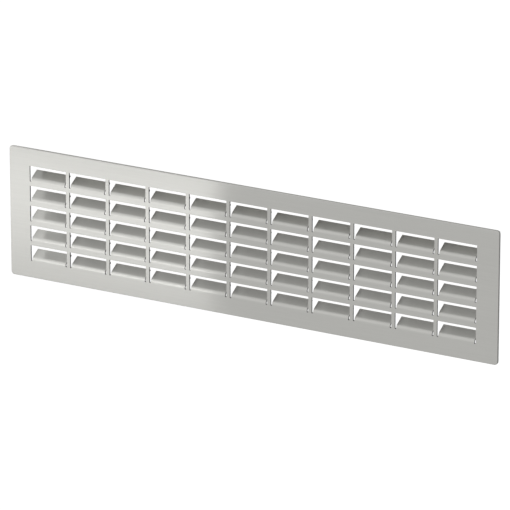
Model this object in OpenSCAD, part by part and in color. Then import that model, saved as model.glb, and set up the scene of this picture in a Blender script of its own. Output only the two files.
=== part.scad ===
// Louvred air grille: a hemmed sheet-steel faceplate with pressed louvres, stiffened behind its
// long borders by two folded rails, held in a wall cut-out by four spring clips on those rails,
// and sealed against the wall by rubber strips.
// Millimetres. X runs along the grille, Z is up, and the wall's face is the plane Y = 0.
// The origin is the centre of the cut-out on that plane; the louvred face looks towards -Y.

/* [Faceplate] */
// Length of the faceplate
plate_w = 400; // [390:1:460]
// Height of the faceplate
plate_h = 100; // [98:1:120]
// Thickness of the steel sheet
sheet_t = 1.2; // [1:0.1:1.3]
// Width of the hem, where the sheet's edge is folded back on itself
hem_w = 4; // [3.5:0.1:4.4]
// Radius of the four corners
corner_r = 2.5; // [1:0.5:4]

/* [Louvres] */
// Openings along the grille
columns = 11; // [3:1:11]
// Openings up the grille
rows = 5; // [1:1:5]
// Width of one opening
opening_w = 30.7; // [24:0.1:31]
// Height of one opening
opening_h = 12; // [11.8:0.1:12.4]
// Width of the bar between two openings in a row
bar_w = 2.8; // [2:0.1:3]
// Height of the strip between two rows
strip_h = 3.37; // [2.5:0.01:3.4]
// Width of the slot that frees a louvre on three sides
slot_w = 1.1; // [0.8:0.1:2]
// Angle that a louvre is bent back from the face
louvre_angle = 61; // [30:1:65]
// Inner radius of that bend
louvre_bend_r = 2.2; // [0.8:0.1:3]
// Flat root of a louvre, between the opening's lower edge and the bend
louvre_root = 0.4; // [0.2:0.1:1.5]

/* [Stiffening rails] */
// Length of a rail
rail_w = 360; // [350:1:380]
// Thickness of a rail's sheet
rail_t = 0.5; // [0.4:0.1:0.6]
// Height of the leg that lies on the faceplate's back
rail_h = 6.8; // [6.8:0.1:7.2]
// Depth of the upper rail's lip behind the faceplate's back
rail_lip_top = 10.5; // [4:0.5:12]
// Depth of the lower rail's lip, short so that it stays out of sight through the openings
rail_lip_bottom = 3; // [2:0.5:7]
// Inner radius of the fold between the leg and the lip
rail_bend_r = 0.4; // [0.3:0.1:0.5]

/* [Wall fixing] */
// Distance from the faceplate's edge to the edge of the wall cut-out
cutout_margin = 5; // [5:0.1:5.2]
// Thickness of a sealing strip when it is pressed against the wall
seal_t = 1; // [0.8:0.1:1.5]
// Distance of a clip's middle from the grille's middle
clip_x = 134; // [60:1:150]
// Thickness of the spring steel
clip_t = 0.4; // [0.3:0.05:0.5]
// Width of a clip's foot
foot_w = 24; // [23:1:30]
// Width of a clip's spring arm
arm_w = 8; // [6:0.5:8.5]
// Angle by which an arm leans outwards from its root
arm_flare = 12; // [8:1:14]
// Angle by which an arm's tip leans back in, to lead it into the cut-out
arm_lead = 32; // [20:1:40]

/* [Fasteners] */
// Distance between a clip's two studs
stud_pitch = 16; // [15:0.5:18]
// Radius of a welded stud
stud_r = 1.5; // [1.2:0.1:1.5]
// Length of a welded stud
stud_len = 4.6; // [4:0.1:5]
// Distance across a nut's flats
nut_flats = 5.5; // [5:0.1:5.5]
// Thickness of a nut
nut_t = 2.4; // [1.8:0.1:2.4]
// Radius of a washer
washer_r = 2.9; // [2.6:0.1:2.9]
// Thickness of a washer
washer_t = 0.5; // [0.3:0.1:0.5]

/* [Hidden] */
$fn = 48;
eps = 0.01;

// Depths, counted from the wall's face: the hem rests on the seal, and the sheet is two thick there.
hem_back_y = -seal_t;
sheet_back_y = hem_back_y - sheet_t;
face_y = sheet_back_y - sheet_t;

// The field of openings, centred on the faceplate.
column_pitch = opening_w + bar_w;
row_pitch = opening_h + strip_h;
field_w = columns * opening_w + (columns - 1) * bar_w;
field_h = rows * opening_h + (rows - 1) * strip_h;

// A louvre is the sheet inside its slot, so its length follows from the opening's height.
louvre_w = opening_w - 2 * slot_w;
louvre_flat_len = opening_h - slot_w;
bend_mid_r = louvre_bend_r + sheet_t / 2;
bend_arc_len = bend_mid_r * louvre_angle * PI / 180;
blade_len = louvre_flat_len - louvre_root - bend_arc_len;
louvre_centre = [sheet_back_y + louvre_bend_r, louvre_root];
root_overlap = 0.5;
bend_steps = 8;

// Mitre slots in the hem's corners stop short of the rounded corner.
mitre_w = 0.3;
mitre_len = (hem_w - corner_r * 0.6) * sqrt(2);

// Sealing strips lie on the hem, a little inside the faceplate's edge.
seal_inset = 1;
seal_w = hem_w - seal_inset - 0.1;
seal_gap = 0.2;

// A clip is drawn for the upper edge. Heights count from the middle, as everywhere.
cutout_top = plate_h / 2 - cutout_margin;
arm_clearance = 0.4;
arm_root_z = cutout_top - arm_clearance - clip_t / 2;
clip_bend_r = 0.6;
foot_top = cutout_top - 0.6;
foot_h = 5.8;
foot_bottom = foot_top - foot_h;
seat_y = sheet_back_y + rail_t;
stud_z = foot_top - foot_h / 2;
foot_bend_z = arm_root_z + clip_t / 2 - clip_bend_r - clip_t;
stub_end_y = -0.2;
arm_gap = 0.2;
arm_start_y = stub_end_y + arm_gap;
arm_rise_len = 7.6;
arm_tip_len = 5;
arm_apex_r = 1.2;
root_notch = 0.5;
hole_r = stud_r + 0.2;
nut_bore_r = stud_r + 0.02;

steel = [0.70, 0.70, 0.68];
spring_steel = [0.52, 0.54, 0.58];
zinc = [0.78, 0.79, 0.80];
rubber = [0.16, 0.16, 0.17];

function reversed(points) = [for (i = [len(points) - 1:-1:0]) points[i]];

// Flat outline with rounded corners, centred on the origin
module rounded_outline(w, h, r) {
  square([w - 2 * r, h], center = true);
  square([w, h - 2 * r], center = true);
  for (x = [-1, 1], z = [-1, 1])
    translate([x * (w / 2 - r), z * (h / 2 - r)]) circle(r);
}

// Turns a flat outline into a plate in the XZ plane, from y_front towards +Y
module plate_from(y_front, thickness) {
  translate([0, y_front + thickness, 0]) rotate([90, 0, 0]) linear_extrude(thickness) children();
}

// Runs its children at the middle of each opening's lower edge
module at_openings() {
  for (c = [0:columns - 1], r = [0:rows - 1])
    translate([
      (c - (columns - 1) / 2) * column_pitch,
      0,
      (r - (rows - 1) / 2) * row_pitch - opening_h / 2
    ]) children();
}

// One side of a louvre's section in the YZ plane, at radius r of its bend: root, bend and blade
function louvre_side(r) = concat(
  [[louvre_centre[0] - r, -root_overlap]],
  [for (i = [0:bend_steps])
    let (a = louvre_angle * i / bend_steps)
    louvre_centre + r * [-cos(a), sin(a)]],
  [louvre_centre + r * [-cos(louvre_angle), sin(louvre_angle)]
    + blade_len * [sin(louvre_angle), cos(louvre_angle)]]
);

// One louvre: flat root, round bend and straight blade, leaning back from the face
module louvre() {
  translate([-louvre_w / 2, 0, 0])
    rotate([90, 0, 90])
      linear_extrude(louvre_w)
        polygon(concat(louvre_side(louvre_bend_r + sheet_t), reversed(louvre_side(louvre_bend_r))));
}

module louvred_faceplate() {
  recess_w = plate_w - 2 * hem_w;
  recess_h = plate_h - 2 * hem_w;
  color(steel) union() {
    difference() {
      plate_from(face_y, 2 * sheet_t) rounded_outline(plate_w, plate_h, corner_r);
      translate([-recess_w / 2, sheet_back_y, -recess_h / 2]) cube([recess_w, 2 * sheet_t, recess_h]);
      at_openings()
        translate([-opening_w / 2, face_y - sheet_t, 0]) cube([opening_w, 3 * sheet_t, opening_h]);
      for (x = [-1, 1], z = [-1, 1])
        translate([x * recess_w / 2, sheet_back_y, z * recess_h / 2])
          rotate([0, -x * z * 45, 0])
            translate([-mitre_len, 0, -mitre_w / 2]) cube([2 * mitre_len, 2 * sheet_t, mitre_w]);
    }
    at_openings() louvre();
  }
}

module sealing_strip(length) {
  translate([-length / 2, -seal_t, -seal_w / 2]) cube([length, seal_t, seal_w]);
}

seal_middle = seal_inset + seal_w / 2;

module sealing_strip_along(side) {
  color(rubber) translate([0, 0, side * (plate_h / 2 - seal_middle)]) sealing_strip(plate_w - 2 * seal_inset);
}

module sealing_strip_end(side) {
  color(rubber)
    translate([side * (plate_w / 2 - seal_middle), 0, 0])
      rotate([0, 90, 0]) sealing_strip(plate_h - 2 * (seal_inset + seal_w + seal_gap));
}

module sealing_strip_top() sealing_strip_along(1);
module sealing_strip_bottom() sealing_strip_along(-1);
module sealing_strip_left() sealing_strip_end(-1);
module sealing_strip_right() sealing_strip_end(1);

// Places something drawn for the upper edge at one of the four clips
module at_clip(side_x, side_z) {
  translate([side_x * clip_x, 0, 0]) mirror([0, 0, side_z < 0 ? 1 : 0]) children();
}

// Points of an arc about a centre, from one angle to another
function arc(centre, r, from, to, steps) =
  [for (i = [0:steps]) let (a = from + (to - from) * i / steps) centre + r * [cos(a), sin(a)]];

// Stiffening rail, drawn for the upper edge: a leg flat on the sheet's back and a lip at its foot
rail_outer_r = rail_bend_r + rail_t;
rail_bottom = foot_top - rail_h;
rail_fold = [sheet_back_y + rail_outer_r, rail_bottom + rail_outer_r];
rail_bend_steps = 6;

module rail_section(lip) {
  lip_end_y = sheet_back_y + lip;
  polygon(concat(
    [[seat_y, foot_top], [sheet_back_y, foot_top]],
    arc(rail_fold, rail_outer_r, 180, 270, rail_bend_steps),
    [[lip_end_y, rail_bottom], [lip_end_y, rail_bottom + rail_t]],
    arc(rail_fold, rail_bend_r, 270, 180, rail_bend_steps)
  ));
}

module stiffening_rail(side, lip) {
  color(steel) mirror([0, 0, side < 0 ? 1 : 0]) difference() {
    translate([-rail_w / 2, 0, 0]) rotate([90, 0, 90]) linear_extrude(rail_w) rail_section(lip);
    for (side_x = [-1, 1], x = [-1, 1])
      translate([side_x * clip_x + x * stud_pitch / 2, sheet_back_y - rail_t, stud_z])
        rotate([-90, 0, 0]) cylinder(r = hole_r, h = 3 * rail_t);
  }
}

module stiffening_rail_top() stiffening_rail(1, rail_lip_top);
module stiffening_rail_bottom() stiffening_rail(-1, rail_lip_bottom);

// Foot of a spring clip: a flat plate on two studs, with the arm's bent root in its middle
module clip_foot() {
  bend_outer_r = clip_bend_r + clip_t;
  color(spring_steel) union() {
    difference() {
      union() {
        translate([-foot_w / 2, seat_y, foot_bottom])
          cube([foot_w, clip_t, foot_bend_z - foot_bottom]);
        for (x = [-1, 1]) {
          wing_w = (foot_w - arm_w) / 2 - root_notch;
          translate([x * (foot_w / 2 - wing_w / 2) - wing_w / 2, seat_y, foot_bend_z - eps])
            cube([wing_w, clip_t, foot_top - foot_bend_z + eps]);
        }
      }
      for (x = [-1, 1])
        translate([x * stud_pitch / 2, seat_y - clip_t, stud_z])
          rotate([-90, 0, 0]) cylinder(r = hole_r, h = 3 * clip_t);
    }
    translate([0, seat_y + bend_outer_r, foot_bend_z])
      rotate([90, 0, -90])
        rotate_extrude(angle = 90)
          translate([clip_bend_r, -arm_w / 2]) square([clip_t, arm_w]);
    translate([-arm_w / 2, seat_y + bend_outer_r, arm_root_z - clip_t / 2])
      cube([arm_w, stub_end_y - seat_y - bend_outer_r, clip_t]);
  }
}

// Middle line of a spring arm in the YZ plane: out from the root, round the apex, back in to the tip
arm_turn = arm_flare + arm_lead;
apex_cut = arm_apex_r * tan(arm_turn / 2);
apex = [arm_start_y + arm_rise_len * cos(arm_flare), arm_root_z + arm_rise_len * sin(arm_flare)];
apex_centre = apex + apex_cut * [-cos(arm_flare), -sin(arm_flare)]
  + arm_apex_r * [sin(arm_flare), -cos(arm_flare)];
arm_tip = apex + arm_tip_len * [cos(arm_lead), -sin(arm_lead)];
apex_steps = 8;

// The line moved sideways by d, positive outwards
function arm_side(d) = concat(
  [[arm_start_y, arm_root_z] + d * [-sin(arm_flare), cos(arm_flare)]],
  arc(apex_centre, arm_apex_r + d, 90 + arm_flare, 90 - arm_lead, apex_steps),
  [arm_tip + d * [sin(arm_lead), cos(arm_lead)]]
);

module clip_arm() {
  color(spring_steel)
    translate([-arm_w / 2, 0, 0])
      rotate([90, 0, 90])
        linear_extrude(arm_w)
          polygon(concat(arm_side(clip_t / 2), reversed(arm_side(-clip_t / 2))));
}

module clip_foot_top_left() at_clip(-1, 1) clip_foot();
module clip_foot_top_right() at_clip(1, 1) clip_foot();
module clip_foot_bottom_left() at_clip(-1, -1) clip_foot();
module clip_foot_bottom_right() at_clip(1, -1) clip_foot();
module clip_arm_top_left() at_clip(-1, 1) clip_arm();
module clip_arm_top_right() at_clip(1, 1) clip_arm();
module clip_arm_bottom_left() at_clip(-1, -1) clip_arm();
module clip_arm_bottom_right() at_clip(1, -1) clip_arm();

// Runs its children at each stud, with +Z along the stud and Z = 0 on the sheet's back
module at_studs() {
  for (side_x = [-1, 1], side_z = [-1, 1], x = [-1, 1])
    translate([side_x * clip_x + x * stud_pitch / 2, sheet_back_y, side_z * stud_z])
      rotate([-90, 0, 0]) children();
}

module weld_studs() {
  color(zinc) at_studs() cylinder(r = stud_r, h = stud_len);
}

module lock_washers() {
  color(zinc) at_studs() translate([0, 0, rail_t + clip_t]) difference() {
    cylinder(r = washer_r, h = washer_t);
    translate([0, 0, -eps]) cylinder(r = hole_r, h = washer_t + 2 * eps);
  }
}

module hex_nuts() {
  corner = nut_flats / 2 / cos(30);
  color(zinc) at_studs() translate([0, 0, rail_t + clip_t + washer_t]) difference() {
    cylinder(r = corner, h = nut_t, $fn = 6);
    translate([0, 0, -eps]) cylinder(r = nut_bore_r, h = nut_t + 2 * eps);
  }
}

louvred_faceplate();
stiffening_rail_top();
stiffening_rail_bottom();
sealing_strip_top();
sealing_strip_bottom();
sealing_strip_left();
sealing_strip_right();
clip_foot_top_left();
clip_foot_top_right();
clip_foot_bottom_left();
clip_foot_bottom_right();
clip_arm_top_left();
clip_arm_top_right();
clip_arm_bottom_left();
clip_arm_bottom_right();
weld_studs();
lock_washers();
hex_nuts();
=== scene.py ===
"""Looks of the louvred air grille: meshes, materials, studio and camera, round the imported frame."""

import math

import bmesh
import bpy
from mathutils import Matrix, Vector, noise


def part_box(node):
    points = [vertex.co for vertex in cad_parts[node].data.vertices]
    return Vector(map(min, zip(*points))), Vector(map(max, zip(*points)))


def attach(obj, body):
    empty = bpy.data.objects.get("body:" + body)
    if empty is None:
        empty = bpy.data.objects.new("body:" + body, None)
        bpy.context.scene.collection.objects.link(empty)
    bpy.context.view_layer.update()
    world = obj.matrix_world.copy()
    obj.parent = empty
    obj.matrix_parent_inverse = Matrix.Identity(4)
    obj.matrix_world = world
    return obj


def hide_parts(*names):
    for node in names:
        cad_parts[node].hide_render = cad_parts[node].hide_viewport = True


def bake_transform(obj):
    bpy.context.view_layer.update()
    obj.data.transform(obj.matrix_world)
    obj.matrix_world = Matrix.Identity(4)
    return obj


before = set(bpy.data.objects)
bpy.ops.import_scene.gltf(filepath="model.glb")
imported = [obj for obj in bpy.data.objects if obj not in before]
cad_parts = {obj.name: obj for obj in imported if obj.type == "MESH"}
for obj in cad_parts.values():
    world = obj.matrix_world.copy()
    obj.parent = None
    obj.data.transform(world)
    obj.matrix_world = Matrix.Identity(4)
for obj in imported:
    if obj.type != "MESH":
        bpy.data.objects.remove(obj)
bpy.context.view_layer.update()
MM = 0.001

# ---------------------------------------------------------------- dimensions, in millimetres

PLATE_LOW, PLATE_HIGH = (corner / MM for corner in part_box("louvred_faceplate"))
PLATE_W = PLATE_HIGH.x - PLATE_LOW.x
PLATE_H = PLATE_HIGH.z - PLATE_LOW.z
FACE_Y = PLATE_LOW.y
SHEET_T = 1.2
SHEET_BACK_Y = FACE_Y + SHEET_T
HEM_BACK_Y = FACE_Y + 2 * SHEET_T
HEM_W = 4.0
CORNER_R = 2.5
EDGE_R, EDGE_STEPS = 0.45, 4
CORNER_STEPS = 6
CUT_EDGE_ROUND = 0.05
RING_W = 5.0

COLUMNS, ROWS = 11, 5
OPENING_W, OPENING_H = 30.7, 12.0
BAR_W, STRIP_H = 2.8, 3.37
SLOT_W = 1.1
LOUVRE_ANGLE = math.radians(61)
LOUVRE_BEND_R = 2.2
LOUVRE_ROOT = 0.4
BEND_STEPS = 12

RAIL_LOW, RAIL_HIGH = (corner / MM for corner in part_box("stiffening_rail_top"))
RAIL_T = 0.5
RAIL_BEND_R = 0.4
RAIL_CLIP = 1.5
RAIL_EDGE_ROUND = 0.09
SEAT_Y = SHEET_BACK_Y + RAIL_T

FOOT_LOW, FOOT_HIGH = (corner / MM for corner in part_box("clip_foot_top_right"))
ARM_LOW, ARM_HIGH = (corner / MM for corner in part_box("clip_arm_top_right"))
CLIP_X = (FOOT_LOW.x + FOOT_HIGH.x) / 2
FOOT_W = FOOT_HIGH.x - FOOT_LOW.x
ARM_W = ARM_HIGH.x - ARM_LOW.x
CLIP_T = 0.4
CLIP_BEND_R = 0.6
ROOT_NOTCH = 0.5
ARM_ROOT_Z = FOOT_HIGH.z - CLIP_T / 2
ARM_FLARE = math.radians(12)
ARM_LEAD = math.radians(32)
ARM_RISE_LEN = 7.6
ARM_TIP_LEN = 5.0
ARM_APEX_R = 1.2
ARM_KINK_R = 3.0
CLIP_CORNER = 1.2
CLIP_CORNER_TRIM = 0.3 * CLIP_CORNER
CLIP_EDGE_ROUND = 0.07

STUD_PITCH = 16.0
STUD_Z = RAIL_HIGH.z - 2.9
STUD_R, STUD_LEN = 1.5, 4.6
STUD_CHAMFER, STUD_CHAMFER_SLOPE = 0.4, 0.8
STUD_END_R = STUD_R - 0.34
WELD_R, WELD_H = 1.65, 0.25
THREAD_PITCH, THREAD_DEPTH, THREAD_START = 0.5, 0.27, 0.4
# How fast the thread's sides rise, against a thread whose crest is a point
THREAD_STEEPNESS = 1.2
WASHER_R, WASHER_HOLE_R, WASHER_T = 2.9, 1.7, 0.5
WASHER_BEVEL = 0.08
NUT_FLATS, NUT_T = 5.5, 2.4
NUT_FACE_R = NUT_FLATS / 2 - 0.15
NUT_CHAMFER = math.radians(30)
NUT_BORE_R = STUD_R - 0.1
NUT_SINK_R, NUT_SINK_H = STUD_R + 0.2, 0.3
FASTENER_TURN = 0.7
FASTENER_SHARP = math.radians(28)

SEAL_STEP, SEAL_SWELL = 2.5, 0.12
# Waves to the millimetre along a strip, and how far apart its two sides lie in the noise
SEAL_WAVES, SEAL_SIDES_APART = 0.35, 7
# Up one side of a strip's section: (share of half its width, share of its depth)
SEAL_BULGE = 1.06
SEAL_SIDE = [(0.93, 0), (1, 0.12), (SEAL_BULGE, 0.5), (1, 0.88), (0.93, 1)]
SEAL_SHARP = math.radians(50)

# Places closer than this are the same
SAME = 1e-3
# A sheet's edge that turns by more than this is rounded
SHARP_BEND = math.radians(35)

# ---------------------------------------------------------------- mesh helpers


def new_piece(name, bm, materials):
    """A mesh object in metres whose geometry, in millimetres, comes from a bmesh."""
    bm.normal_update()
    for v in bm.verts:
        v.co *= MM
    mesh = bpy.data.meshes.new(name)
    bm.to_mesh(mesh)
    bm.free()
    for material in materials:
        mesh.materials.append(material)
    piece = bpy.data.objects.new(name, mesh)
    bpy.context.scene.collection.objects.link(piece)
    for polygon in mesh.polygons:
        polygon.use_smooth = True
    return piece


def soften_edges(piece, width):
    """A small rounding on every sharp edge, with flat faces kept flat by weighted normals."""
    bevel = piece.modifiers.new("edge_round", "BEVEL")
    bevel.width = width * MM
    bevel.segments = 2
    bevel.limit_method = "ANGLE"
    bevel.angle_limit = SHARP_BEND
    bevel.use_clamp_overlap = True
    normals = piece.modifiers.new("flat_faces", "WEIGHTED_NORMAL")
    normals.keep_sharp = False
    normals.weight = 90


class SheetMesh:
    """A mesh of bent sheet: one vertex at each place, and UVs in metres along the flat sheet."""

    def __init__(self, digits):
        self.bm = bmesh.new()
        self.uv = self.bm.loops.layers.uv.new("sheet")
        self.digits = digits
        self.made = {}

    def vertex(self, place):
        """The vertex at a place; places that agree to self.digits decimals share one."""
        key = tuple(round(c, self.digits) for c in place)
        if key not in self.made:
            self.made[key] = self.bm.verts.new(place)
        return self.made[key]

    def face(self, places, uvs, material=0):
        """A face through places, unless it is there already or too few of them differ."""
        vertices, kept_uvs = [], []
        for place, uv in zip(places, uvs):
            v = self.vertex(place)
            if v not in vertices:
                vertices.append(v)
                kept_uvs.append(uv)
        if len(vertices) < 3 or self.bm.faces.get(vertices):
            return
        face = self.bm.faces.new(vertices)
        face.material_index = material
        for loop, uv in zip(face.loops, kept_uvs):
            loop[self.uv].uv = (uv[0] * MM, uv[1] * MM)

    def ribbon(self, path, xs):
        """A ribbon across X, cut at xs, that follows a path of (y, z)."""
        along = distances(path)
        for (y0, z0), (y1, z1), s0, s1 in zip(path, path[1:], along, along[1:]):
            for x0, x1 in zip(xs, xs[1:]):
                places = [(x0, y0, z0), (x1, y0, z0), (x1, y1, z1), (x0, y1, z1)]
                self.face(places, [(x0, s0), (x1, s0), (x1, s1), (x0, s1)])


def distances(path):
    """Distance along a path at each of its points."""
    total, found = 0.0, [0.0]
    for p, q in zip(path, path[1:]):
        total += math.dist(p, q)
        found.append(total)
    return found


def arc(centre, radius, start, end, steps):
    """Points of an arc in the YZ plane, from one angle to another, in degrees."""
    angles = [math.radians(start + (end - start) * i / steps) for i in range(steps + 1)]
    return [(centre[0] + radius * math.cos(a), centre[1] + radius * math.sin(a)) for a in angles]


def circle(radius, height, count):
    """Points of a horizontal circle round the Z axis."""
    turns = [2 * math.pi * i / count for i in range(count)]
    return [(radius * math.cos(a), radius * math.sin(a), height) for a in turns]


def add_grid(bm, rows):
    """Faces between rows of points, each row running once round the piece; returns the vertex rows."""
    made = [[bm.verts.new(p) for p in row] for row in rows]
    for low, high in zip(made, made[1:]):
        for i in range(len(low)):
            j = (i + 1) % len(low)
            bm.faces.new([low[i], low[j], high[j], high[i]])
    return made


def add_capped_grid(bm, rows):
    """A grid closed at both ends, with its faces turned outward."""
    made = add_grid(bm, rows)
    bm.faces.new(list(reversed(made[0])))
    bm.faces.new(made[-1])
    bmesh.ops.recalc_face_normals(bm, faces=bm.faces)


# ---------------------------------------------------------------- materials


# Noise mostly lies between these
NOISE_RANGE = (0.3, 0.7)


class Shader:
    """Short names for building a node material."""

    def __init__(self, name):
        self.material = bpy.data.materials.new(name)
        self.material.use_nodes = True
        self.tree = self.material.node_tree
        self.surface = self.tree.nodes["Principled BSDF"]

    def node(self, kind, **settings):
        made = self.tree.nodes.new(kind)
        for key, value in settings.items():
            setattr(made, key, value)
        return made

    def link(self, source, target):
        self.tree.links.new(source, target)

    def value(self, socket, number):
        self.surface.inputs[socket].default_value = number

    def drive(self, socket, source):
        self.link(source, self.surface.inputs[socket])

    def noise(self, place, cells, detail=2.0, roughness=0.5):
        """Noise with a number of cells to the metre along each axis of a place."""
        mapping = self.node("ShaderNodeMapping")
        mapping.inputs["Scale"].default_value = cells
        self.link(place, mapping.inputs["Vector"])
        texture = self.node("ShaderNodeTexNoise")
        texture.inputs["Scale"].default_value = 1.0
        texture.inputs["Detail"].default_value = detail
        texture.inputs["Roughness"].default_value = roughness
        self.link(mapping.outputs["Vector"], texture.inputs["Vector"])
        return texture.outputs["Fac"]

    def spread(self, source, low, high):
        """A noise stretched so that its usual range runs from low to high."""
        remap = self.node("ShaderNodeMapRange")
        remap.inputs["From Min"].default_value, remap.inputs["From Max"].default_value = NOISE_RANGE
        remap.inputs["To Min"].default_value = low
        remap.inputs["To Max"].default_value = high
        self.link(source, remap.inputs["Value"])
        return remap.outputs["Result"]

    def math(self, operation, a, b):
        made = self.node("ShaderNodeMath", operation=operation)
        for socket, term in zip(made.inputs, (a, b)):
            if isinstance(term, (int, float)):
                socket.default_value = term
            else:
                self.link(term, socket)
        return made.outputs["Value"]

    def shade(self, colour, factor):
        """A colour multiplied by a factor that varies over the surface."""
        scaled = self.node("ShaderNodeVectorMath", operation="SCALE")
        scaled.inputs[0].default_value = colour
        self.link(factor, scaled.inputs["Scale"])
        return scaled.outputs["Vector"]

    def bump(self, height, distance, strength=1.0):
        made = self.node("ShaderNodeBump")
        made.inputs["Strength"].default_value = strength
        made.inputs["Distance"].default_value = distance
        self.link(height, made.inputs["Height"])
        self.drive("Normal", made.outputs["Normal"])


# Cells to the metre along and across the sheet's grain
FINE_GRAIN, COARSE_GRAIN, GRAIN_PATCHES = (60, 5200, 1), (14, 900, 1), (9, 30, 1)
FINE_SHARE = 0.6

STEEL = (0.70, 0.697, 0.665)
# Cut edges: a dull sheared finish, darkened much further as painted shade for the shadowed walls of the
# openings and louvres
CUT_STEEL_WITH_PAINTED_SHADE = (0.10, 0.099, 0.095)
ZINC_GREY = (0.66, 0.68, 0.70)
RUBBER_BLACK = (0.035, 0.035, 0.038)
TEMPER_BLUE = (0.30, 0.33, 0.40, 1)
TEMPER_GREY = (0.40, 0.40, 0.41, 1)


def brushed_stainless():
    """Stainless sheet brushed along its length: long fine scratches, sheen stretched across them."""
    s = Shader("brushed_stainless")
    uv = s.node("ShaderNodeUVMap", uv_map="sheet").outputs["UV"]
    fine = s.math("MULTIPLY", s.noise(uv, FINE_GRAIN, 3.0, 0.6), FINE_SHARE)
    coarse = s.math("MULTIPLY", s.noise(uv, COARSE_GRAIN), 1 - FINE_SHARE)
    patches = s.noise(uv, GRAIN_PATCHES)
    grain = s.math("ADD", fine, coarse)
    lines = s.spread(grain, 0.965, 1.03)
    clouds = s.spread(patches, -0.008, 0.008)
    s.drive("Base Color", s.shade(STEEL, s.math("ADD", lines, clouds)))
    s.drive("Roughness", s.spread(grain, 0.34, 0.31))
    s.value("Metallic", 1.0)
    s.value("Anisotropic", 1.0)
    s.value("Anisotropic Rotation", 0.25)
    tangent = s.node("ShaderNodeTangent", direction_type="UV_MAP", uv_map="sheet")
    s.drive("Tangent", tangent.outputs["Tangent"])
    s.bump(grain, 0.000012, 0.35)
    return s.material


def cut_edge():
    """Sheared sheet edge: dull steel with fine tearing across the thickness, made near black as painted
    shade for the walls inside the openings and louvres.
    """
    s = Shader("stainless_cut_edge_painted_shade")
    place = s.node("ShaderNodeTexCoord").outputs["Object"]
    tearing = s.noise(place, (2500, 700, 2500), 3.0, 0.6)
    # Painted shade: the near-black colour stands for the shade inside the openings, and the tearing
    # varies it
    s.drive("Base Color", s.shade(CUT_STEEL_WITH_PAINTED_SHADE, s.spread(tearing, 0.85, 1.1)))
    s.drive("Roughness", s.spread(tearing, 0.38, 0.55))
    s.value("Metallic", 1.0)
    s.bump(tearing, 0.00002, 0.5)
    return s.material


def spring_steel():
    """Rolled spring strip: smooth, grey-blue, with faint rolling lines and temper colour."""
    s = Shader("spring_steel")
    place = s.node("ShaderNodeTexCoord").outputs["Object"]
    rolling = s.noise(place, (3500, 120, 120))
    temper = s.noise(place, (160, 160, 160))
    ramp = s.node("ShaderNodeValToRGB")
    for stop, position, colour in zip(ramp.color_ramp.elements, (0.3, 0.7), (TEMPER_BLUE, TEMPER_GREY)):
        stop.position = position
        stop.color = colour
    s.link(temper, ramp.inputs["Fac"])
    s.drive("Base Color", ramp.outputs["Color"])
    s.drive("Roughness", s.spread(rolling, 0.26, 0.38))
    s.value("Metallic", 1.0)
    s.bump(rolling, 0.000008, 0.4)
    return s.material


def zinc_plating():
    """Bright zinc plating, slightly clouded and finely pitted."""
    s = Shader("zinc_plating")
    place = s.node("ShaderNodeTexCoord").outputs["Object"]
    cloud = s.noise(place, (420, 420, 420), 3.0, 0.6)
    pits = s.noise(place, (3200, 3200, 3200))
    s.drive("Base Color", s.shade(ZINC_GREY, s.spread(cloud, 0.86, 1.08)))
    s.drive("Roughness", s.spread(cloud, 0.22, 0.42))
    s.value("Metallic", 1.0)
    s.bump(pits, 0.00001, 0.4)
    return s.material


def sponge_rubber():
    """Closed-cell sponge rubber: near black, matt, pitted with fine cells."""
    s = Shader("sponge_rubber")
    place = s.node("ShaderNodeTexCoord").outputs["Object"]
    cells = s.node("ShaderNodeTexVoronoi")
    cells.inputs["Scale"].default_value = 2600
    s.link(place, cells.inputs["Vector"])
    dust = s.noise(place, (90, 90, 90), 3.0, 0.6)
    s.drive("Base Color", s.shade(RUBBER_BLACK, s.spread(dust, 0.8, 1.35)))
    s.drive("Roughness", s.spread(dust, 0.82, 0.95))
    s.value("Specular IOR Level", 0.3)
    s.bump(cells.outputs["Distance"], 0.00012, 0.7)
    return s.material


STAINLESS = brushed_stainless()
CUT_EDGE = cut_edge()
SPRING = spring_steel()
ZINC = zinc_plating()
RUBBER = sponge_rubber()

# ---------------------------------------------------------------- faceplate

FACE, EDGE = 0, 1


def opening_lines():
    """The X of each opening's left edge and the Z of each opening's lower edge."""
    pitch_x, pitch_z = OPENING_W + BAR_W, OPENING_H + STRIP_H
    lefts = [(c - (COLUMNS - 1) / 2) * pitch_x - OPENING_W / 2 for c in range(COLUMNS)]
    bottoms = [(r - (ROWS - 1) / 2) * pitch_z - OPENING_H / 2 for r in range(ROWS)]
    return lefts, bottoms


def louvre_section():
    """Up a louvre: (distance along the sheet, front (y, z), back (y, z)), z from the opening's edge."""
    outer = LOUVRE_BEND_R + SHEET_T
    centre_y = FACE_Y + outer
    middle = LOUVRE_BEND_R + SHEET_T / 2
    arc = middle * LOUVRE_ANGLE
    blade = OPENING_H - SLOT_W - LOUVRE_ROOT - arc
    rows = []
    for i in range(BEND_STEPS + 1):
        a = LOUVRE_ANGLE * i / BEND_STEPS
        direction = (-math.cos(a), math.sin(a))
        front = (centre_y + outer * direction[0], LOUVRE_ROOT + outer * direction[1])
        back = (centre_y + LOUVRE_BEND_R * direction[0], LOUVRE_ROOT + LOUVRE_BEND_R * direction[1])
        rows.append((LOUVRE_ROOT + middle * a, front, back))
    along_y, along_z = math.sin(LOUVRE_ANGLE) * blade, math.cos(LOUVRE_ANGLE) * blade
    s, front, back = rows[-1]
    front_tip = (front[0] + along_y, front[1] + along_z)
    back_tip = (back[0] + along_y, back[1] + along_z)
    rows.append((s + blade, front_tip, back_tip))
    return rows


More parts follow.
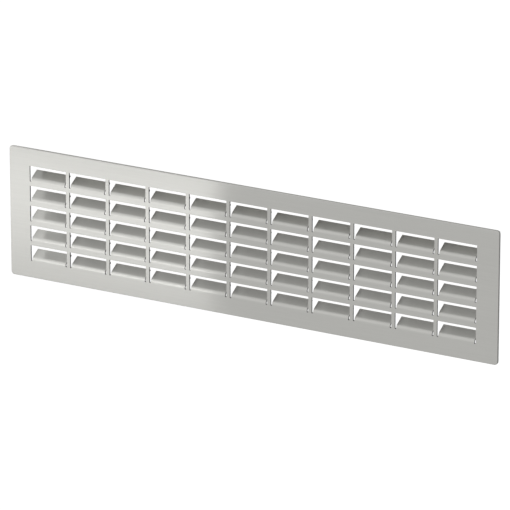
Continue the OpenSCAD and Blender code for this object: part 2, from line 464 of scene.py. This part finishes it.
def ring_profile():
    """(inset from the outline, y) round the plate's edge, from the face over the hem to the back."""
    turns = [math.pi / 2 * i / EDGE_STEPS for i in range(EDGE_STEPS + 1)]
    points = [(RING_W, FACE_Y), (CORNER_R, FACE_Y)]
    points += [(EDGE_R * (1 - math.sin(a)), FACE_Y + EDGE_R * (1 - math.cos(a))) for a in turns]
    points += [(EDGE_R * (1 - math.cos(a)), HEM_BACK_Y - EDGE_R * (1 - math.sin(a))) for a in turns]
    points += [(CORNER_R, HEM_BACK_Y), (HEM_W, HEM_BACK_Y)]
    points += [(HEM_W, SHEET_BACK_Y), (RING_W, SHEET_BACK_Y)]
    return points


def outline_columns(xs, zs):
    """Places round the plate, anticlockwise from the lower left: functions from an inset to (x, z)."""
    half_w, half_h = PLATE_W / 2, PLATE_H / 2
    columns = []

    def side(fixed_axis, sign, values):
        for v in values:
            if fixed_axis == "z":
                columns.append(lambda t, v=v: (v, sign * (half_h - t)))
            else:
                columns.append(lambda t, v=v: (sign * (half_w - t), v))

    def corner(sx, sz, start):
        for i in range(CORNER_STEPS + 1):
            a = start + math.pi / 2 * i / CORNER_STEPS

            def place(t, a=a):
                inset, radius = max(t, CORNER_R), max(CORNER_R - t, 0)
                return (
                    sx * (half_w - inset) + radius * math.cos(a),
                    sz * (half_h - inset) + radius * math.sin(a),
                )

            columns.append(place)

    side("z", -1, xs)
    corner(1, -1, -math.pi / 2)
    side("x", 1, zs)
    corner(1, 1, 0)
    side("z", 1, reversed(xs))
    corner(-1, 1, math.pi / 2)
    side("x", -1, reversed(zs))
    corner(-1, -1, math.pi)
    return columns


def grid_lines():
    """The X and Z lines along the openings' and slots' edges, and where the rim begins."""
    lefts, bottoms = opening_lines()
    xs = [-PLATE_W / 2 + RING_W]
    for left in lefts:
        xs += slot_lines(left)
    xs.append(PLATE_W / 2 - RING_W)
    zs = [-PLATE_H / 2 + RING_W]
    for bottom in bottoms:
        zs += [bottom, bottom + OPENING_H]
    zs.append(PLATE_H / 2 - RING_W)
    return xs, zs


def slot_lines(left):
    """X of an opening's left edge, its louvre's two sides and its right edge."""
    return [left, left + SLOT_W, left + OPENING_W - SLOT_W, left + OPENING_W]


def add_flat_sheet(sheet, xs, zs):
    """Front and back of the sheet, with holes at every other row and three columns of four."""
    for i, (x0, x1) in enumerate(zip(xs, xs[1:])):
        for j, (z0, z1) in enumerate(zip(zs, zs[1:])):
            if i % 4 and j % 2:
                continue
            corners = [(x0, z0), (x1, z0), (x1, z1), (x0, z1)]
            sheet.face([(x, FACE_Y, z) for x, z in corners], corners, FACE)
            corners.reverse()
            sheet.face([(x, SHEET_BACK_Y, z) for x, z in corners], corners, FACE)


def add_opening_walls(sheet, left, bottom):
    """Cut edges round an opening, except where its louvre bends off between the slots."""
    a, b, c, d = slot_lines(left)
    top = bottom + OPENING_H
    path = [(a, bottom), (a, top), (b, top), (c, top), (d, top), (d, bottom), (c, bottom)]
    for (x0, z0), (x1, z1) in [*zip(path, path[1:]), ((b, bottom), (a, bottom))]:
        front = [(x0, FACE_Y, z0), (x1, FACE_Y, z1)]
        back = [(x1, SHEET_BACK_Y, z1), (x0, SHEET_BACK_Y, z0)]
        points = front + back
        sheet.face(points, [(x + y, z) for x, y, z in points], EDGE)


def add_louvre(sheet, left, bottom):
    """Front, back, cut sides and cut tip of one louvre."""
    x0, x1 = slot_lines(left)[1:3]

    def place(x, point):
        return (x, point[0], bottom + point[1])

    last_s, last_front, last_back = 0.0, (FACE_Y, 0.0), (SHEET_BACK_Y, 0.0)
    for s, front, back in louvre_section():
        low, high = bottom + last_s, bottom + s
        sheet.face(
            [place(x0, last_front), place(x1, last_front), place(x1, front), place(x0, front)],
            [(x0, low), (x1, low), (x1, high), (x0, high)],
            FACE,
        )
        sheet.face(
            [place(x1, last_back), place(x0, last_back), place(x0, back), place(x1, back)],
            [(x1, low), (x0, low), (x0, high), (x1, high)],
            FACE,
        )
        for x, step in ((x0, 1), (x1, -1)):
            side = [place(x, p) for p in (last_back, last_front, front, back)][::step]
            sheet.face(side, [(p[0] + p[1], p[2]) for p in side], EDGE)
        last_s, last_front, last_back = s, front, back
    tip = [place(x0, last_front), place(x1, last_front), place(x1, last_back), place(x0, last_back)]
    sheet.face(tip, [(p[0], p[1] + p[2]) for p in tip], EDGE)


def add_rim(sheet, xs, zs):
    """The plate's border: face, rounded edge, hem and back."""
    profile = ring_profile()
    columns = outline_columns(xs, zs)
    for k, column in enumerate(columns):
        following = columns[(k + 1) % len(columns)]
        for (t0, y0), (t1, y1) in zip(profile, profile[1:]):
            corners = ((column, t0, y0), (column, t1, y1), (following, t1, y1), (following, t0, y0))
            points = [(at(t)[0], y, at(t)[1]) for at, t, y in corners]
            sheet.face(points, [(x, z + (y - FACE_Y)) for x, y, z in points], FACE)


def build_faceplate():
    sheet = SheetMesh(digits=4)
    xs, zs = grid_lines()
    add_flat_sheet(sheet, xs, zs)
    lefts, bottoms = opening_lines()
    for left in lefts:
        for bottom in bottoms:
            add_opening_walls(sheet, left, bottom)
            add_louvre(sheet, left, bottom)
    add_rim(sheet, xs, zs)
    bmesh.ops.recalc_face_normals(sheet.bm, faces=sheet.bm.faces)
    return sheet.bm


def add_faceplate():
    faceplate = new_piece("faceplate_brushed", build_faceplate(), [STAINLESS, CUT_EDGE])
    soften_edges(faceplate, CUT_EDGE_ROUND)
    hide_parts("louvred_faceplate")
    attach(faceplate, "grille")


# ---------------------------------------------------------------- folded sheet parts


def thicken(piece, thickness, edge_round):
    """Gives a ribbon its sheet thickness and softened edges, and keeps the result as its mesh."""
    solid = piece.modifiers.new("sheet_thickness", "SOLIDIFY")
    solid.thickness = thickness * MM
    solid.offset = 0
    solid.use_even_offset = True
    soften_edges(piece, edge_round)
    keep_result(piece)


def keep_result(piece):
    """Makes the mesh that a piece's modifiers give its own mesh."""
    bpy.context.view_layer.update()
    evaluated = piece.evaluated_get(bpy.context.evaluated_depsgraph_get())
    final = bpy.data.meshes.new_from_object(evaluated)
    piece.modifiers.clear()
    first = piece.data
    piece.data = final
    bpy.data.meshes.remove(first)


def mirrored(bm, side):
    """The mesh as drawn for the upper edge, or turned over for the lower one."""
    if side < 0:
        for v in bm.verts:
            v.co.z = -v.co.z
        bmesh.ops.reverse_faces(bm, faces=bm.faces)
    return bm


def build_rail(side, lip_end_y):
    """Stiffening rail: a leg on the sheet's back, a fold and a lip with clipped corners."""
    sheet = SheetMesh(digits=3)
    middle_r = RAIL_BEND_R + RAIL_T / 2
    leg_y = SHEET_BACK_Y + RAIL_T / 2
    lip_z = RAIL_LOW.z + RAIL_T / 2
    fold = arc((leg_y + middle_r, lip_z + middle_r), middle_r, 180, 270, 6)
    path = [(leg_y, RAIL_HIGH.z)] + fold + [(lip_end_y - RAIL_CLIP, lip_z), (lip_end_y, lip_z)]
    end_x = RAIL_HIGH.x
    sheet.ribbon(path, [-end_x, -end_x + RAIL_CLIP, 0, end_x - RAIL_CLIP, end_x])
    for v in sheet.bm.verts:
        if abs(v.co.y - lip_end_y) < SAME and abs(abs(v.co.x) - end_x) < SAME:
            v.co.x = math.copysign(end_x - RAIL_CLIP / 2, v.co.x)
            v.co.y = lip_end_y - RAIL_CLIP / 2
    return mirrored(sheet.bm, side)


def clip_path():
    """Y of the foot's middle plane, and the arm's middle line: root bend, flare, apex bend and tip."""
    middle_r = CLIP_BEND_R + CLIP_T / 2
    plate_y = SEAT_Y + CLIP_T / 2
    root_centre = (plate_y + middle_r, ARM_ROOT_Z - middle_r)
    root = arc(root_centre, middle_r, 180, 90, 8)
    start_y = ARM_LOW.y + CLIP_T / 2 * math.sin(ARM_FLARE)
    flare, lead = math.degrees(ARM_FLARE), math.degrees(ARM_LEAD)
    kink_centre = (start_y - ARM_KINK_R * math.tan(ARM_FLARE / 2), ARM_ROOT_Z + ARM_KINK_R)
    kink = arc(kink_centre, ARM_KINK_R, 270, 270 + flare, 4)
    rise_y, rise_z = ARM_RISE_LEN * math.cos(ARM_FLARE), ARM_RISE_LEN * math.sin(ARM_FLARE)
    apex = (start_y + rise_y, ARM_ROOT_Z + rise_z)
    cut = ARM_APEX_R * math.tan((ARM_FLARE + ARM_LEAD) / 2)
    centre = (
        apex[0] - cut * math.cos(ARM_FLARE) + ARM_APEX_R * math.sin(ARM_FLARE),
        apex[1] - cut * math.sin(ARM_FLARE) - ARM_APEX_R * math.cos(ARM_FLARE),
    )
    bend = arc(centre, ARM_APEX_R, 90 + flare, 90 - lead, 8)
    tip = (apex[0] + ARM_TIP_LEN * math.cos(ARM_LEAD), apex[1] - ARM_TIP_LEN * math.sin(ARM_LEAD))
    short = CLIP_CORNER / ARM_TIP_LEN
    before_tip = (tip[0] + short * (apex[0] - tip[0]), tip[1] + short * (apex[1] - tip[1]))
    return plate_y, root + kink + bend + [before_tip, tip]


def trim_corner(v, turn):
    """Moves a vertex in from a corner of a strip whose end runs down at an angle to Y."""
    v.co.x -= math.copysign(CLIP_CORNER_TRIM, v.co.x)
    v.co.y -= CLIP_CORNER_TRIM * math.cos(turn)
    v.co.z += CLIP_CORNER_TRIM * math.sin(turn)


def build_clip(side_x, side_z):
    """Spring clip: one bent strip, with the foot on the rail and the arm between two root notches."""
    sheet = SheetMesh(digits=3)
    plate_y, arm_line = clip_path()
    half_foot, half_arm = FOOT_W / 2, ARM_W / 2
    wing = half_arm + ROOT_NOTCH
    root_z = arm_line[0][1]
    tip_y = arm_line[-1][0]
    corner = CLIP_CORNER
    left_xs = [-half_foot, -half_foot + corner, -wing]
    right_xs = [wing, half_foot - corner, half_foot]
    foot = [(plate_y, FOOT_LOW.z), (plate_y, FOOT_LOW.z + corner), (plate_y, root_z)]
    sheet.ribbon(foot, left_xs + [-half_arm, half_arm] + right_xs)
    for xs in (left_xs, right_xs):
        sheet.ribbon([(plate_y, root_z), (plate_y, FOOT_HIGH.z)], xs)
    sheet.ribbon(arm_line, [-half_arm, -half_arm + corner, half_arm - corner, half_arm])
    for v in sheet.bm.verts:
        if abs(abs(v.co.x) - half_foot) < SAME and abs(v.co.z - FOOT_LOW.z) < SAME:
            trim_corner(v, math.pi / 2)
        if abs(abs(v.co.x) - half_arm) < SAME and abs(v.co.y - tip_y) < SAME:
            trim_corner(v, ARM_LEAD)
    for v in sheet.bm.verts:
        v.co.x += side_x * CLIP_X
    return mirrored(sheet.bm, side_z)


def add_rails():
    for side, place in ((1, "top"), (-1, "bottom")):
        lip_end_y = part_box(f"stiffening_rail_{place}")[1].y / MM
        rail = new_piece(f"rail_folded_{place}", build_rail(side, lip_end_y), [STAINLESS])
        thicken(rail, RAIL_T, RAIL_EDGE_ROUND)
        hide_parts(f"stiffening_rail_{place}")
        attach(rail, "grille")


def add_clips():
    for side_x, across in ((-1, "left"), (1, "right")):
        for side_z, up in ((1, "top"), (-1, "bottom")):
            place = f"{up}_{across}"
            clip = new_piece(f"spring_clip_{place}", build_clip(side_x, side_z), [SPRING])
            thicken(clip, CLIP_T, CLIP_EDGE_ROUND)
            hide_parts(f"clip_foot_{place}", f"clip_arm_{place}")
            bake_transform(clip)


# ---------------------------------------------------------------- fasteners


def stud_places():
    """(x, z) of each stud: two to a clip."""
    return [
        (side_x * CLIP_X + x * STUD_PITCH / 2, side_z * STUD_Z)
        for side_x in (-1, 1)
        for side_z in (-1, 1)
        for x in (-1, 1)
    ]


def repeated(build_one, lift):
    """One mesh with a copy at each stud, turned so that the piece's Z runs into the wall."""
    whole = bmesh.new()
    for k, (x, z) in enumerate(stud_places()):
        one = build_one()
        # A tightened fastener stops at any angle
        turn = FASTENER_TURN * k
        for v in one.verts:
            across = v.co.x * math.cos(turn) - v.co.y * math.sin(turn)
            up = v.co.x * math.sin(turn) + v.co.y * math.cos(turn)
            v.co = (x + across, SHEET_BACK_Y + lift + v.co.z, z - up)
        part = bpy.data.meshes.new("part")
        one.to_mesh(part)
        one.free()
        whole.from_mesh(part)
        bpy.data.meshes.remove(part)
    return whole


def nut_side(turn):
    """Radius of a hexagonal nut's side, and how far its chamfer has cut it back, at an angle."""
    radius = NUT_FLATS / 2 / math.cos(turn % (math.pi / 3) - math.pi / 6)
    return radius, (radius - NUT_FACE_R) * math.tan(NUT_CHAMFER)


def build_nut():
    """Hexagonal nut, chamfered at its corners and countersunk at both ends of its bore."""
    count = 48
    turns = [2 * math.pi * i / count for i in range(count)]
    sides, drops = zip(*(nut_side(a) for a in turns))
    flush, whole = [0.0] * count, [NUT_T] * count
    profile = (
        ([NUT_BORE_R] * count, [NUT_SINK_H] * count),
        ([NUT_SINK_R] * count, flush),
        ([NUT_FACE_R] * count, flush),
        (sides, drops),
        (sides, [NUT_T - drop for drop in drops]),
        ([NUT_FACE_R] * count, whole),
        ([NUT_SINK_R] * count, whole),
        ([NUT_BORE_R] * count, [NUT_T - NUT_SINK_H] * count),
    )
    rows = []
    for radii, heights in profile:
        rows.append([(r * math.cos(a), r * math.sin(a), z) for a, r, z in zip(turns, radii, heights)])
    bm = bmesh.new()
    add_grid(bm, rows + [rows[0]])
    bmesh.ops.remove_doubles(bm, verts=bm.verts, dist=SAME)
    bmesh.ops.recalc_face_normals(bm, faces=bm.faces)
    return bm


def build_washer():
    """Split lock washer: a square-sectioned ring cut through at a slant."""
    count = 40
    gap, slant = math.radians(7), math.radians(6)
    inner, outer, bevel = WASHER_HOLE_R, WASHER_R, WASHER_BEVEL
    section = [(inner, bevel), (inner + bevel, 0), (outer - bevel, 0), (outer, bevel)]
    section += [(r, WASHER_T - z) for r, z in reversed(section)]
    rows = []
    for i in range(count + 1):
        row = []
        for r, z in section:
            a = gap / 2 + i / count * (2 * math.pi - gap) + slant * (z / WASHER_T - 0.5)
            row.append((r * math.cos(a), r * math.sin(a), z))
        rows.append(row)
    bm = bmesh.new()
    add_capped_grid(bm, rows)
    return bm


def thread_row(height, count):
    """One turn of points at a height on an M3 thread that ends in a chamfer."""
    chamfer = max(0.0, height - (STUD_LEN - STUD_CHAMFER))
    row = []
    for i in range(count):
        phase = (height / THREAD_PITCH - i / count) % 1.0
        crest = min(1.0, abs(phase - 0.5) * 2 * THREAD_STEEPNESS)
        r = min(STUD_R - THREAD_DEPTH * (1 - crest), STUD_R - chamfer * STUD_CHAMFER_SLOPE)
        a = 2 * math.pi * i / count
        row.append((r * math.cos(a), r * math.sin(a), height))
    return row


def build_stud():
    """Welded stud: a fillet of weld at its foot, an M3 thread and a chamfered end."""
    count = 24
    rows = [circle(WELD_R, 0, count), circle(STUD_R, WELD_H, count)]
    height = THREAD_START
    while height < STUD_LEN - SAME:
        rows.append(thread_row(height, count))
        height += THREAD_PITCH / 8
    rows.append(circle(STUD_END_R, STUD_LEN, count))
    bm = bmesh.new()
    add_capped_grid(bm, rows)
    return bm


def add_fasteners():
    washer_lift = RAIL_T + CLIP_T
    stacks = (
        ("studs_threaded", "weld_studs", build_stud, 0),
        ("washers_split", "lock_washers", build_washer, washer_lift),
        ("nuts_chamfered", "hex_nuts", build_nut, washer_lift + WASHER_T),
    )
    for name, node, build_one, lift in stacks:
        piece = new_piece(name, repeated(build_one, lift), [ZINC])
        piece.data.set_sharp_from_angle(angle=FASTENER_SHARP)
        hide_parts(node)
        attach(piece, "grille")


# ---------------------------------------------------------------- sealing strips


def build_seal(low, high, along):
    """Sponge strip between two corners: rounded edges, unevenly swollen sides and square-cut ends."""
    across = 2 - along
    start, end = low[along], high[along]
    middle, half_w = (low[across] + high[across]) / 2, (high[across] - low[across]) / 2
    depth = high[1] - low[1]
    other_side = [(-w, d) for w, d in reversed(SEAL_SIDE)]
    section = other_side[-2:] + SEAL_SIDE + other_side[:-2]
    count = round((end - start) / SEAL_STEP)
    rows = []
    for i in range(count + 1):
        v = start + (end - start) * i / count
        row = []
        for w, d in section:
            side = math.copysign(1, w)
            wave = noise.noise(Vector((v * SEAL_WAVES, side * SEAL_SIDES_APART, middle)))
            point = [0, low[1] + depth * d, 0]
            point[along] = v
            point[across] = middle + half_w / SEAL_BULGE * w - side * SEAL_SWELL * (0.5 + 0.5 * wave)
            row.append(point)
        rows.append(row)
    bm = bmesh.new()
    add_capped_grid(bm, rows)
    return bm


def add_seals():
    for side, along in (("top", 0), ("bottom", 0), ("left", 2), ("right", 2)):
        low, high = (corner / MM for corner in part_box(f"sealing_strip_{side}"))
        seal = new_piece(f"seal_sponge_{side}", build_seal(low, high, along), [RUBBER])
        seal.data.set_sharp_from_angle(angle=SEAL_SHARP)
        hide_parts(f"sealing_strip_{side}")
        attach(seal, "grille")


add_faceplate()
add_rails()
add_clips()
add_fasteners()
add_seals()

# ---------------------------------------------------------------- stage, light and camera


BACKDROP_LIGHT = 1.0
# The studio's light, by how far a ray points up: (how far, how bright)
LOW_LIGHT, LEVEL_LIGHT = (-0.7, 0.53), (0.35, 0.85)
# The share of it, by how far a ray points into the wall: (how far, share)
FRONT_SHARE, BACK_SHARE = (-0.5, 1.0), (0.3, 0.5)

FLOOR_W, FLOOR_Z = 12.0, -0.9
FLOOR_GREY, FLOOR_GLOW = 0.5, 0.75


def make_floor():
    """A pale floor that glows as evenly as the backdrop and doesn't show in the steel."""
    mesh = bpy.data.meshes.new("floor")
    h = FLOOR_W / 2
    mesh.from_pydata([(-h, -h, 0), (h, -h, 0), (h, h, 0), (-h, h, 0)], [], [(0, 1, 2, 3)])
    floor = bpy.data.objects.new("floor", mesh)
    floor.location.z = FLOOR_Z
    bpy.context.scene.collection.objects.link(floor)
    s = Shader("pale_floor")
    s.value("Base Color", (FLOOR_GREY, FLOOR_GREY, FLOOR_GREY, 1))
    s.value("Roughness", 0.9)
    s.value("Emission Color", (1, 1, 1, 1))
    s.value("Emission Strength", FLOOR_GLOW)
    floor.data.materials.append(s.material)
    floor.visible_glossy = False


def soft_light(name, place, target, width, height, radiance):
    """A rectangular light, unseen by the camera, that looks equally bright from all sides."""
    data = bpy.data.lights.new(name, "AREA")
    data.shape = "RECTANGLE"
    data.size, data.size_y = width, height
    data.energy = radiance * math.pi * width * height
    lamp = bpy.data.objects.new(name, data)
    lamp.location = place
    lamp.rotation_mode = "QUATERNION"
    lamp.rotation_quaternion = (target - place).to_track_quat("-Z", "Y")
    lamp.visible_camera = False
    bpy.context.scene.collection.objects.link(lamp)


def fade(tree, direction, start, end):
    """A level that runs from start to end, each (how far a ray points along direction, level)."""
    ray = tree.nodes.new("ShaderNodeTexCoord")
    along = tree.nodes.new("ShaderNodeVectorMath")
    along.operation = "DOT_PRODUCT"
    along.inputs[1].default_value = direction
    tree.links.new(ray.outputs["Generated"], along.inputs[0])
    level = tree.nodes.new("ShaderNodeMapRange")
    level.interpolation_type = "SMOOTHSTEP"
    level.inputs["From Min"].default_value, level.inputs["To Min"].default_value = start
    level.inputs["From Max"].default_value, level.inputs["To Max"].default_value = end
    tree.links.new(along.outputs["Value"], level.inputs["Value"])
    return level.outputs["Result"]


def make_world():
    """White behind the object; for light and reflections a soft studio, dimmer below and behind."""
    world = bpy.data.worlds.new("studio")
    bpy.context.scene.world = world
    world.use_nodes = True
    tree = world.node_tree
    tree.nodes.clear()
    out = tree.nodes.new("ShaderNodeOutputWorld")
    mix = tree.nodes.new("ShaderNodeMixShader")
    path = tree.nodes.new("ShaderNodeLightPath")
    lit = tree.nodes.new("ShaderNodeBackground")
    seen = tree.nodes.new("ShaderNodeBackground")
    for background in (lit, seen):
        background.inputs["Color"].default_value = (1, 1, 1, 1)
    seen.inputs["Strength"].default_value = BACKDROP_LIGHT
    total = tree.nodes.new("ShaderNodeMath")
    total.operation = "MULTIPLY"
    links = tree.links
    links.new(fade(tree, (0, 0, 1), LOW_LIGHT, LEVEL_LIGHT), total.inputs[0])
    links.new(fade(tree, (0, 1, 0), FRONT_SHARE, BACK_SHARE), total.inputs[1])
    links.new(total.outputs["Value"], lit.inputs["Strength"])
    links.new(path.outputs["Is Camera Ray"], mix.inputs["Fac"])
    links.new(lit.outputs["Background"], mix.inputs[1])
    links.new(seen.outputs["Background"], mix.inputs[2])
    links.new(mix.outputs["Shader"], out.inputs["Surface"])


CAMERA_AZIMUTH = math.radians(28.83)
CAMERA_ELEVATION = math.radians(19.40)
CAMERA_DISTANCE = 3.7569
CAMERA_LENS = 369.5
CAMERA_TARGET = Vector((5.4 * MM, FACE_Y * MM, -0.45 * MM))


def make_camera():
    """A long lens, aimed at CAMERA_TARGET from in front, to the right and above."""
    data = bpy.data.cameras.new("camera")
    data.lens = CAMERA_LENS
    data.sensor_width = 36
    data.clip_start, data.clip_end = 0.1, 50
    camera = bpy.data.objects.new("camera", data)
    back = Vector(
        (
            math.sin(CAMERA_AZIMUTH) * math.cos(CAMERA_ELEVATION),
            -math.cos(CAMERA_AZIMUTH) * math.cos(CAMERA_ELEVATION),
            math.sin(CAMERA_ELEVATION),
        )
    )
    camera.location = CAMERA_TARGET + back * CAMERA_DISTANCE
    camera.rotation_mode = "QUATERNION"
    camera.rotation_quaternion = (-back).to_track_quat("-Z", "Y")
    bpy.context.scene.collection.objects.link(camera)
    bpy.context.scene.camera = camera


# A softbox in front of the left half, in millimetres: its right edge is the soft line down the face
PANEL_GAP = 150.0
PANEL_W = 350.0
PANEL_LOW, PANEL_HIGH = 8.0, 64.0
PANEL_LIGHT = 1.4
FACE_LIGHT_END_X = -27.5


def add_panel():
    """The softbox, placed so that the face mirrors it toward the camera left of FACE_LIGHT_END_X."""
    gap = PANEL_GAP * math.cos(CAMERA_ELEVATION)
    right = FACE_LIGHT_END_X - gap * math.sin(CAMERA_AZIMUTH)
    middle = (PANEL_LOW + PANEL_HIGH) / 2 - PANEL_GAP * math.sin(CAMERA_ELEVATION)
    place = Vector((right - PANEL_W / 2, FACE_Y - gap * math.cos(CAMERA_AZIMUTH), middle)) * MM
    facing = Vector((place.x, 0, place.z))
    soft_light("left_panel", place, facing, PANEL_W * MM, (PANEL_HIGH - PANEL_LOW) * MM, PANEL_LIGHT)


# A small card over the left end, behind the face: the left ends of the first louvres mirror it
CARD_W, CARD_DEPTH = 110.0, 76.0
CARD_END_X, CARD_Y, CARD_Z = -228.0, 36.0, 100.0
CARD_LIGHT = 0.65


def add_card():
    """The reflector card, facing down."""
    place = Vector((CARD_END_X - CARD_W / 2, CARD_Y, CARD_Z)) * MM
    below = Vector((place.x, place.y, 0))
    soft_light("left_card", place, below, CARD_W * MM, CARD_DEPTH * MM, CARD_LIGHT)


make_floor()
make_world()
add_panel()
add_card()
make_camera()
bpy.context.scene.view_settings.view_transform = "Standard"
bpy.context.scene.view_settings.look = "None"
